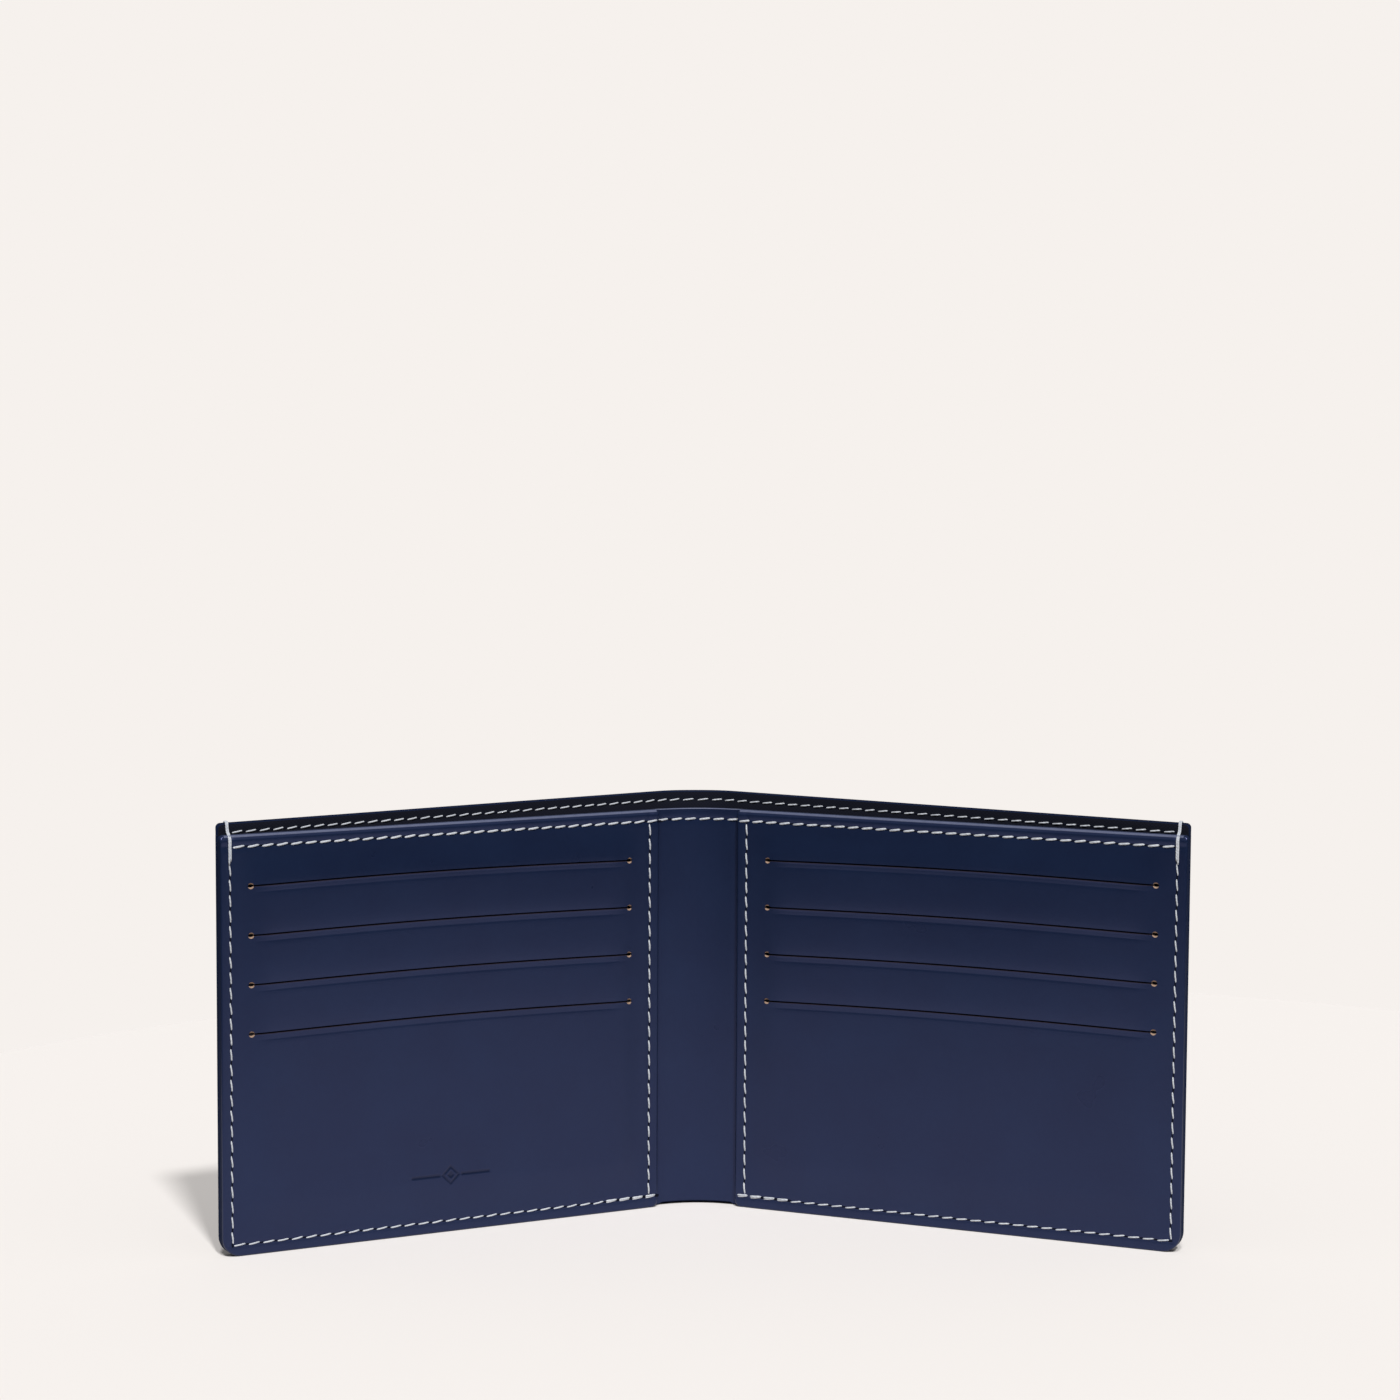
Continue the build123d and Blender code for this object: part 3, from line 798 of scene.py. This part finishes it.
def stitch_tree():
    """Lays stitches and needle holes along a line whose points carry the way out of the leather."""
    tree = bpy.data.node_groups.new("lockstitch_row", "GeometryNodeTree")
    sockets = {"Geometry": "Geometry", "Pitch": "Float", "Stitch Length": "Float"}
    sockets |= {"Thread Radius": "Float", "Lean": "Float", "Seed": "Int"}
    sockets |= {"Hole Size": "Vector", "Thread": "Material", "Needle Hole": "Material"}
    for name, kind in sockets.items():
        tree.interface.new_socket(name, in_out="INPUT", socket_type=f"NodeSocket{kind}")
    tree.interface.new_socket("Geometry", in_out="OUTPUT", socket_type="NodeSocketGeometry")
    given = node(tree, "NodeGroupInput").outputs
    vector = {"data_type": "FLOAT_VECTOR"}

    # Each point of the row turns its Z out of the leather and its X along the seam, and then
    # leans in the leather's face.
    line = node(tree, "GeometryNodeMeshToCurve", {"Mesh": given["Geometry"]})
    spaced = {"Curve": line.outputs[0], "Length": given["Pitch"]}
    dots = node(tree, "GeometryNodeCurveToPoints", spaced, mode="LENGTH").outputs
    away = node(tree, "GeometryNodeInputNamedAttribute", {"Name": "way_out"}, **vector)
    headed = {"Geometry": dots["Points"], "Name": "heading", "Value": dots["Tangent"]}
    headed = node(tree, "GeometryNodeStoreNamedAttribute", headed, domain="POINT", **vector)
    heading = node(tree, "GeometryNodeInputNamedAttribute", {"Name": "heading"}, **vector)
    facing = {"Primary Axis": away.outputs[0], "Secondary Axis": heading.outputs[0]}
    axes = {"primary_axis": "Z", "secondary_axis": "X"}
    facing = node(tree, "FunctionNodeAxesToRotation", facing, **axes)
    wander = {2: -0.035, 3: 0.035, "Seed": given["Seed"]}
    wander = node(tree, "FunctionNodeRandomValue", wander, data_type="FLOAT")
    lean = {0: wander.outputs[1], 1: given["Lean"]}
    lean = node(tree, "ShaderNodeMath", lean, operation="ADD")
    twist = {"Axis": (0.0, 0.0, 1.0), "Angle": lean.outputs[0]}
    twist = node(tree, "FunctionNodeAxisAngleToRotation", twist)
    turned = {"Rotation": facing.outputs[0], "Rotate By": twist.outputs[0]}
    turned = node(tree, "FunctionNodeRotateRotation", turned, rotation_space="LOCAL").outputs[0]

    # A stitch is a low arch of thread, with both ends below the leather's face.
    length, radius = given["Stitch Length"], given["Thread Radius"]
    left = node(tree, "ShaderNodeMath", {0: length, 1: -0.5}, operation="MULTIPLY").outputs[0]
    right = node(tree, "ShaderNodeMath", {0: length, 1: 0.5}, operation="MULTIPLY").outputs[0]
    sunk = node(tree, "ShaderNodeMath", {0: radius, 1: -0.9}, operation="MULTIPLY").outputs[0]
    crown = node(tree, "ShaderNodeMath", {0: radius, 1: 1.9}, operation="MULTIPLY").outputs[0]
    start = node(tree, "ShaderNodeCombineXYZ", {"X": left, "Z": sunk}).outputs[0]
    middle = node(tree, "ShaderNodeCombineXYZ", {"Z": crown}).outputs[0]
    end = node(tree, "ShaderNodeCombineXYZ", {"X": right, "Z": sunk}).outputs[0]
    arch = {"Resolution": 8, "Start": start, "Middle": middle, "End": end}
    arch = node(tree, "GeometryNodeCurveQuadraticBezier", arch)
    section = node(tree, "GeometryNodeCurvePrimitiveCircle", {"Resolution": 8, "Radius": radius})
    bead = {"Curve": arch.outputs[0], "Profile Curve": section.outputs[0], "Fill Caps": True}
    bead = node(tree, "GeometryNodeCurveToMesh", bead)
    beads = {"Points": headed.outputs[0], "Instance": bead.outputs[0], "Rotation": turned}

    # A needle hole is a shallow dark pit half a pitch further on.
    hop = node(tree, "ShaderNodeMath", {0: given["Pitch"], 1: 0.5}, operation="MULTIPLY")
    step = {0: heading.outputs[0], "Scale": hop.outputs[0]}
    step = node(tree, "ShaderNodeVectorMath", step, operation="SCALE")
    between = {"Geometry": headed.outputs[0], "Offset": step.outputs[0]}
    between = node(tree, "GeometryNodeSetPosition", between)
    pit = node(tree, "GeometryNodeMeshIcoSphere", {"Radius": 1.0, "Subdivisions": 2})
    pits = {"Points": between.outputs[0], "Instance": pit.outputs[0], "Rotation": turned}
    pits["Scale"] = given["Hole Size"]

    both = node(tree, "GeometryNodeJoinGeometry")
    for copies, material in ((pits, given["Needle Hole"]), (beads, given["Thread"])):
        copies = node(tree, "GeometryNodeInstanceOnPoints", copies)
        solid = node(tree, "GeometryNodeRealizeInstances", {"Geometry": copies.outputs[0]})
        finish = {"Geometry": solid.outputs[0], "Material": material}
        finish = node(tree, "GeometryNodeSetMaterial", finish)
        tree.links.new(finish.outputs[0], both.inputs[0])
    smooth = node(tree, "GeometryNodeSetShadeSmooth", {"Geometry": both.outputs[0]})
    node(tree, "NodeGroupOutput", {0: smooth.outputs[0]})
    return tree


lockstitch = stitch_tree()


def seam_line(surface, depth, outward, ends, side):
    """The path of the middles of a run's stitches in metres, and the way out of the leather.

    Ends are the (along, height) of the first and the last needle hole. Outward is 1 in front
    and -1 behind.
    """
    (a0, h0), (a1, h1) = ends
    length = math.hypot(a1 - a0, h1 - h0)
    trim = 0.5 / max(1, round(length / PITCH))
    t = np.linspace(trim, 1 - trim, max(2, int(length / 0.5)))
    along, height = a0 + (a1 - a0) * t, h0 + (h1 - h0) * t
    here = surface(along, height, depth(along, height))
    away = surface(along, height, depth(along, height) + outward) - here
    away /= np.linalg.norm(away, axis=1)[:, None]
    if side == "left":
        here[:, 0] *= -1
        away[:, 0] *= -1
        here, away = here[::-1], away[::-1]
    return here / 1000, away


def seam(name, side, runs, seed, lean=0.13, stitch=STITCH, radius=THREAD_RADIUS):
    """Sews every run of one seam into one plain mesh."""
    joined = bmesh.new()
    for number, run in enumerate(runs):
        here, away = seam_line(*run, side)
        length = float(np.sum(np.linalg.norm(np.diff(here, axis=0), axis=1)))
        mesh = bpy.data.meshes.new("seam_path")
        edges = [(i, i + 1) for i in range(len(here) - 1)]
        lift = 0.00002
        mesh.from_pydata((here + away * lift).tolist(), edges, [])
        attribute = mesh.attributes.new("way_out", "FLOAT_VECTOR", "POINT")
        attribute.data.foreach_set("vector", away.astype(np.float32).reshape(-1))
        path = place("seam_path", mesh)
        sewing = path.modifiers.new("stitches", "NODES")
        sewing.node_group = lockstitch
        # A spacing a little short of its share makes room for the last stitch.
        values = {
            "Pitch": length / max(1, round(length * 1000 / PITCH)) * 0.99,
            "Stitch Length": stitch / 1000,
            "Thread Radius": radius / 1000,
            "Lean": lean * run[2],
            "Seed": seed + number,
            "Hole Size": [half / 1000 for half in HOLE_SIZE],
            "Thread": thread,
            "Needle Hole": needle_hole,
        }
        for item in lockstitch.interface.items_tree:
            if item.in_out == "INPUT" and item.name in values:
                sewing[item.identifier] = values[item.name]
        graph = bpy.context.evaluated_depsgraph_get()
        plain = bpy.data.meshes.new_from_object(path.evaluated_get(graph), depsgraph=graph)
        bpy.data.objects.remove(path)
        joined.from_mesh(plain)
    mesh = bpy.data.meshes.new(name)
    joined.to_mesh(mesh)
    joined.free()
    for material in plain.materials:
        mesh.materials.append(material)
    for spent in ("way_out", "heading"):
        if spent in mesh.attributes:
            mesh.attributes.remove(mesh.attributes[spent])
    piece = place(name, mesh)
    return piece


for side in ("left", "right"):
    level = ((0.0, COVER_SEAM), (OUTER_SEAM - 0.6, COVER_SEAM))
    runs = [(cover_surface, lining_front, 1, level), (cover_surface, shell_back, -1, level)]
    top = seam(f"cover_top_stitches_{side}", side, runs, seed=11, radius=0.2)
    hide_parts(f"thread_cover_top_{side}", "thread_cover_top_spine")
    bend_with(top)

# ---------------------------------------------------------------------------------------------
# Divider seam: runs along the whole top of the divider, across both card panels and the bare
# spine between them, 2.5 mm down. It holds the panels' top edges.
for side in ("left", "right"):
    bare = ((0.0, TOP_SEAM), (PANEL_START - 0.1, TOP_SEAM))
    level = ((PANEL_START + 0.1, TOP_SEAM), (OUTER_SEAM - 0.4, TOP_SEAM))
    behind = ((0.0, TOP_SEAM), (OUTER_SEAM - 4, TOP_SEAM))
    runs = [
        (divider_surface, divider_front, 1, bare),
        (divider_surface, panel_front(side), 1, level),
        (divider_surface, divider_back, -1, behind),
    ]
    top = seam(f"divider_top_stitches_{side}", side, runs, seed=31)
    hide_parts(f"thread_divider_top_{side}", "thread_divider_top_spine")
    bend_with(top)

# ---------------------------------------------------------------------------------------------
# Panel seams: one beside the spine on each leaf, through the card panel and the divider only,
# so that the note pocket stays open from end to end.
for side in ("left", "right"):
    upright = ((INNER_SEAM, BOTTOM_SEAM + 0.3), (INNER_SEAM, TOP_SEAM - 0.3))
    runs = [
        (divider_surface, panel_front(side), 1, upright),
        (divider_surface, divider_back, -1, upright),
    ]
    inner = seam(f"panel_inner_stitches_{side}", side, runs, seed=51, lean=0.1, radius=0.2)
    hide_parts(f"thread_panel_{side}")
    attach(inner, f"{side}_leaf")

# ---------------------------------------------------------------------------------------------
# Edge seams: one on each leaf, through every layer, up the outer edge and along the bottom. The
# last stitches at the spine are sewn twice. At the top the thread is wrapped twice over the
# cover's edge, because that corner takes the strain when the pocket is opened.
WRAP_RADIUS = 0.2
WRAP_SIDES = 8


def wrap_path(strand, face):
    """One strand from the panel's face over the cover's top and down its back."""
    across = np.array(OUTER_SEAM + 0.17 * (2 * strand - 1))
    longer = 0.8 * strand
    path = []
    for height in np.linspace(DIVIDER_HEIGHT - 5.6 - longer, DIVIDER_HEIGHT - 0.7, 9):
        height = np.array(height)
        path.append(divider_surface(across, height, face(across, height) + WRAP_RADIUS))
    over = [(DIVIDER_HEIGHT + 0.15, 1.2), (DIVIDER_HEIGHT + 0.6, 0.55)]
    turn = ((-0.9, 0.28), (-0.1, 0.15), (0.22, -0.3), (0.24, -0.9), (-0.1, -1.4), (-0.9, -1.55))
    over += [(COVER_HEIGHT + rise, depth) for rise, depth in turn]
    down = np.linspace(COVER_HEIGHT - 2.2, COVER_HEIGHT - 7.4 - longer, 7)
    over += [(height, -1.56) for height in down]
    path += [cover_surface(across, np.array(height), np.array(depth)) for height, depth in over]
    return np.array(path)


def wrap_thread(name, side):
    """Two strands side by side, each a closed tube that thins at its ends."""
    out = np.array([math.cos(TURN), -math.sin(TURN), 0.0])
    points, faces = [], []
    for strand in (0, 1):
        centre = wrap_path(strand, panel_front(side))
        last = len(centre) - 1
        for i in range(last + 1):
            ahead = centre[min(i + 1, last)] - centre[max(i - 1, 0)]
            up = np.cross(out, ahead / np.linalg.norm(ahead))
            up /= np.linalg.norm(up)
            size = WRAP_RADIUS * (0.55 if i in (0, last) else 1.0)
            for k in range(WRAP_SIDES):
                angle = 2 * math.pi * k / WRAP_SIDES
                points.append(centre[i] + size * (out * math.cos(angle) + up * math.sin(angle)))
        start = strand * (last + 1) * WRAP_SIDES
        ring = list(range(start, start + WRAP_SIDES))
        faces.append(ring[::-1])
        for i in range(last):
            ahead = [v + WRAP_SIDES for v in ring]
            for k in range(WRAP_SIDES):
                n = (k + 1) % WRAP_SIDES
                faces.append([ring[k], ring[n], ahead[n], ahead[k]])
            ring = ahead
        faces.append(ring)
    piece = shaped(name, side, np.array(points), faces, [0] * len(faces), [thread])
    return piece


for side in ("left", "right"):
    face = panel_front(side)
    first = PANEL_START + 0.25
    foot = (OUTER_SEAM, BOTTOM_SEAM)
    bottom = ((first, BOTTOM_SEAM), foot)
    runs = [
        (divider_surface, face, 1, bottom),
        (divider_surface, face, 1, (foot, (OUTER_SEAM, DIVIDER_HEIGHT - 5.8))),
        (cover_surface, shell_back, -1, bottom),
        (cover_surface, shell_back, -1, (foot, (OUTER_SEAM, COVER_HEIGHT - 7.8))),
    ]
    edge = seam(f"edge_stitches_{side}", side, runs, seed=71, radius=0.18)
    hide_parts(f"thread_edge_{side}")
    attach(edge, f"{side}_leaf")
    spacing = (OUTER_SEAM - first) / round((OUTER_SEAM - first) / PITCH)
    again = ((first, BOTTOM_SEAM + 0.3), (first + 4 * spacing, BOTTOM_SEAM + 0.22))
    runs = [(divider_surface, face, 1, again)]
    name = f"edge_lock_stitches_{side}"
    double = seam(name, side, runs, seed=91, lean=0.04, stitch=2.7, radius=0.22)
    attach(double, f"{side}_leaf")
    wrap = wrap_thread(f"corner_wrap_thread_{side}", side)
    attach(wrap, f"{side}_leaf")

# ---------------------------------------------------------------------------------------------
# Floor: a plain pale round sheet of matt card that the wallet stands on. In this light it is as
# white as the air around it, so its rim hardly shows.
FLOOR_X = 0.05
FLOOR_RADIUS = 0.31
paint = bpy.data.materials.new("pale_matt_floor")
paint.use_nodes = True
paint.node_tree.nodes.clear()
matt = {"Color": [0.807, 0.770, 0.742, 1.0], "Roughness": 0.0}
matt = node(paint.node_tree, "ShaderNodeBsdfDiffuse", matt)
node(paint.node_tree, "ShaderNodeOutputMaterial", {"Surface": matt.outputs[0]})
turns = [2 * math.pi * i / 128 for i in range(128)]
rim = [(FLOOR_X + FLOOR_RADIUS * math.cos(t), FLOOR_RADIUS * math.sin(t), 0) for t in turns]
floor_mesh = bpy.data.meshes.new("floor")
floor_mesh.from_pydata(rim, [], [tuple(range(len(rim)))])
floor_mesh.materials.append(paint)
place("floor", floor_mesh)

# ---------------------------------------------------------------------------------------------
# Light: a weak dome that is brightest overhead, a key from the front right, and a frontal fill
# whose shadow falls straight behind the wallet. Both lamps stand 50 to 55 degrees up.
world = bpy.data.worlds.new("studio")
bpy.context.scene.world = world
world.use_nodes = True
air = world.node_tree
air.nodes.clear()
way = node(air, "ShaderNodeTexCoord").outputs["Object"]
split = node(air, "ShaderNodeSeparateXYZ", {0: way})
overhead = {"Value": split.outputs["Z"], "From Min": 0.1, "From Max": 0.6}
overhead = node(air, "ShaderNodeMapRange", overhead | {"To Min": 0.02, "To Max": 0.29})
dome = {"Color": [1.0, 1.0, 1.0, 1.0], "Strength": overhead.outputs["Result"]}
dome = node(air, "ShaderNodeBackground", dome)
backdrop = node(air, "ShaderNodeBackground", {"Color": linear("#f6f1ed"), "Strength": 1.0})
ray = node(air, "ShaderNodeLightPath").outputs["Is Camera Ray"]
sky = node(air, "ShaderNodeMixShader", {0: ray, 1: dome.outputs[0], 2: backdrop.outputs[0]})
node(air, "ShaderNodeOutputWorld", {"Surface": sky.outputs[0]})
for name, energy, angle, towards in (
    ("key", 2.06, 5.0, (0.16, -0.62, 0.768)),
    ("fill", 1.54, 9.0, (-0.03, -0.573, 0.819)),
):
    sun = bpy.data.lights.new(name, "SUN")
    sun.energy = energy
    sun.angle = math.radians(angle)
    lamp = place(name, sun)
    lamp.rotation_mode = "QUATERNION"
    lamp.rotation_quaternion = Vector(towards).to_track_quat("Z", "Y")

# ---------------------------------------------------------------------------------------------
# Camera: a long lens on a stand, about 0.8 m in front of the wallet and 0.2 m up. It looks
# slightly down, a little to the right, and leans by a third of a degree.
camera_data = bpy.data.cameras.new("camera")
camera_data.sensor_width = 36.0
camera_data.lens = 90.0
camera_data.clip_start = 0.01
camera_data.clip_end = 200.0
camera = place("camera", camera_data)
pitch, yaw, roll = math.radians(5.502), math.radians(2.346), math.radians(0.311)
camera.location = (-0.03227, (SPINE_Y - 797.9) / 1000, 0.1943)
camera.rotation_euler = (math.pi / 2 - pitch, 0.0, -yaw)
turned = camera.rotation_euler.to_matrix() @ Matrix.Rotation(roll, 3, "Z")
camera.rotation_euler = turned.to_euler("XYZ")
bpy.context.scene.camera = camera
bpy.context.scene.view_settings.view_transform = "Standard"
bpy.context.scene.view_settings.look = "None"
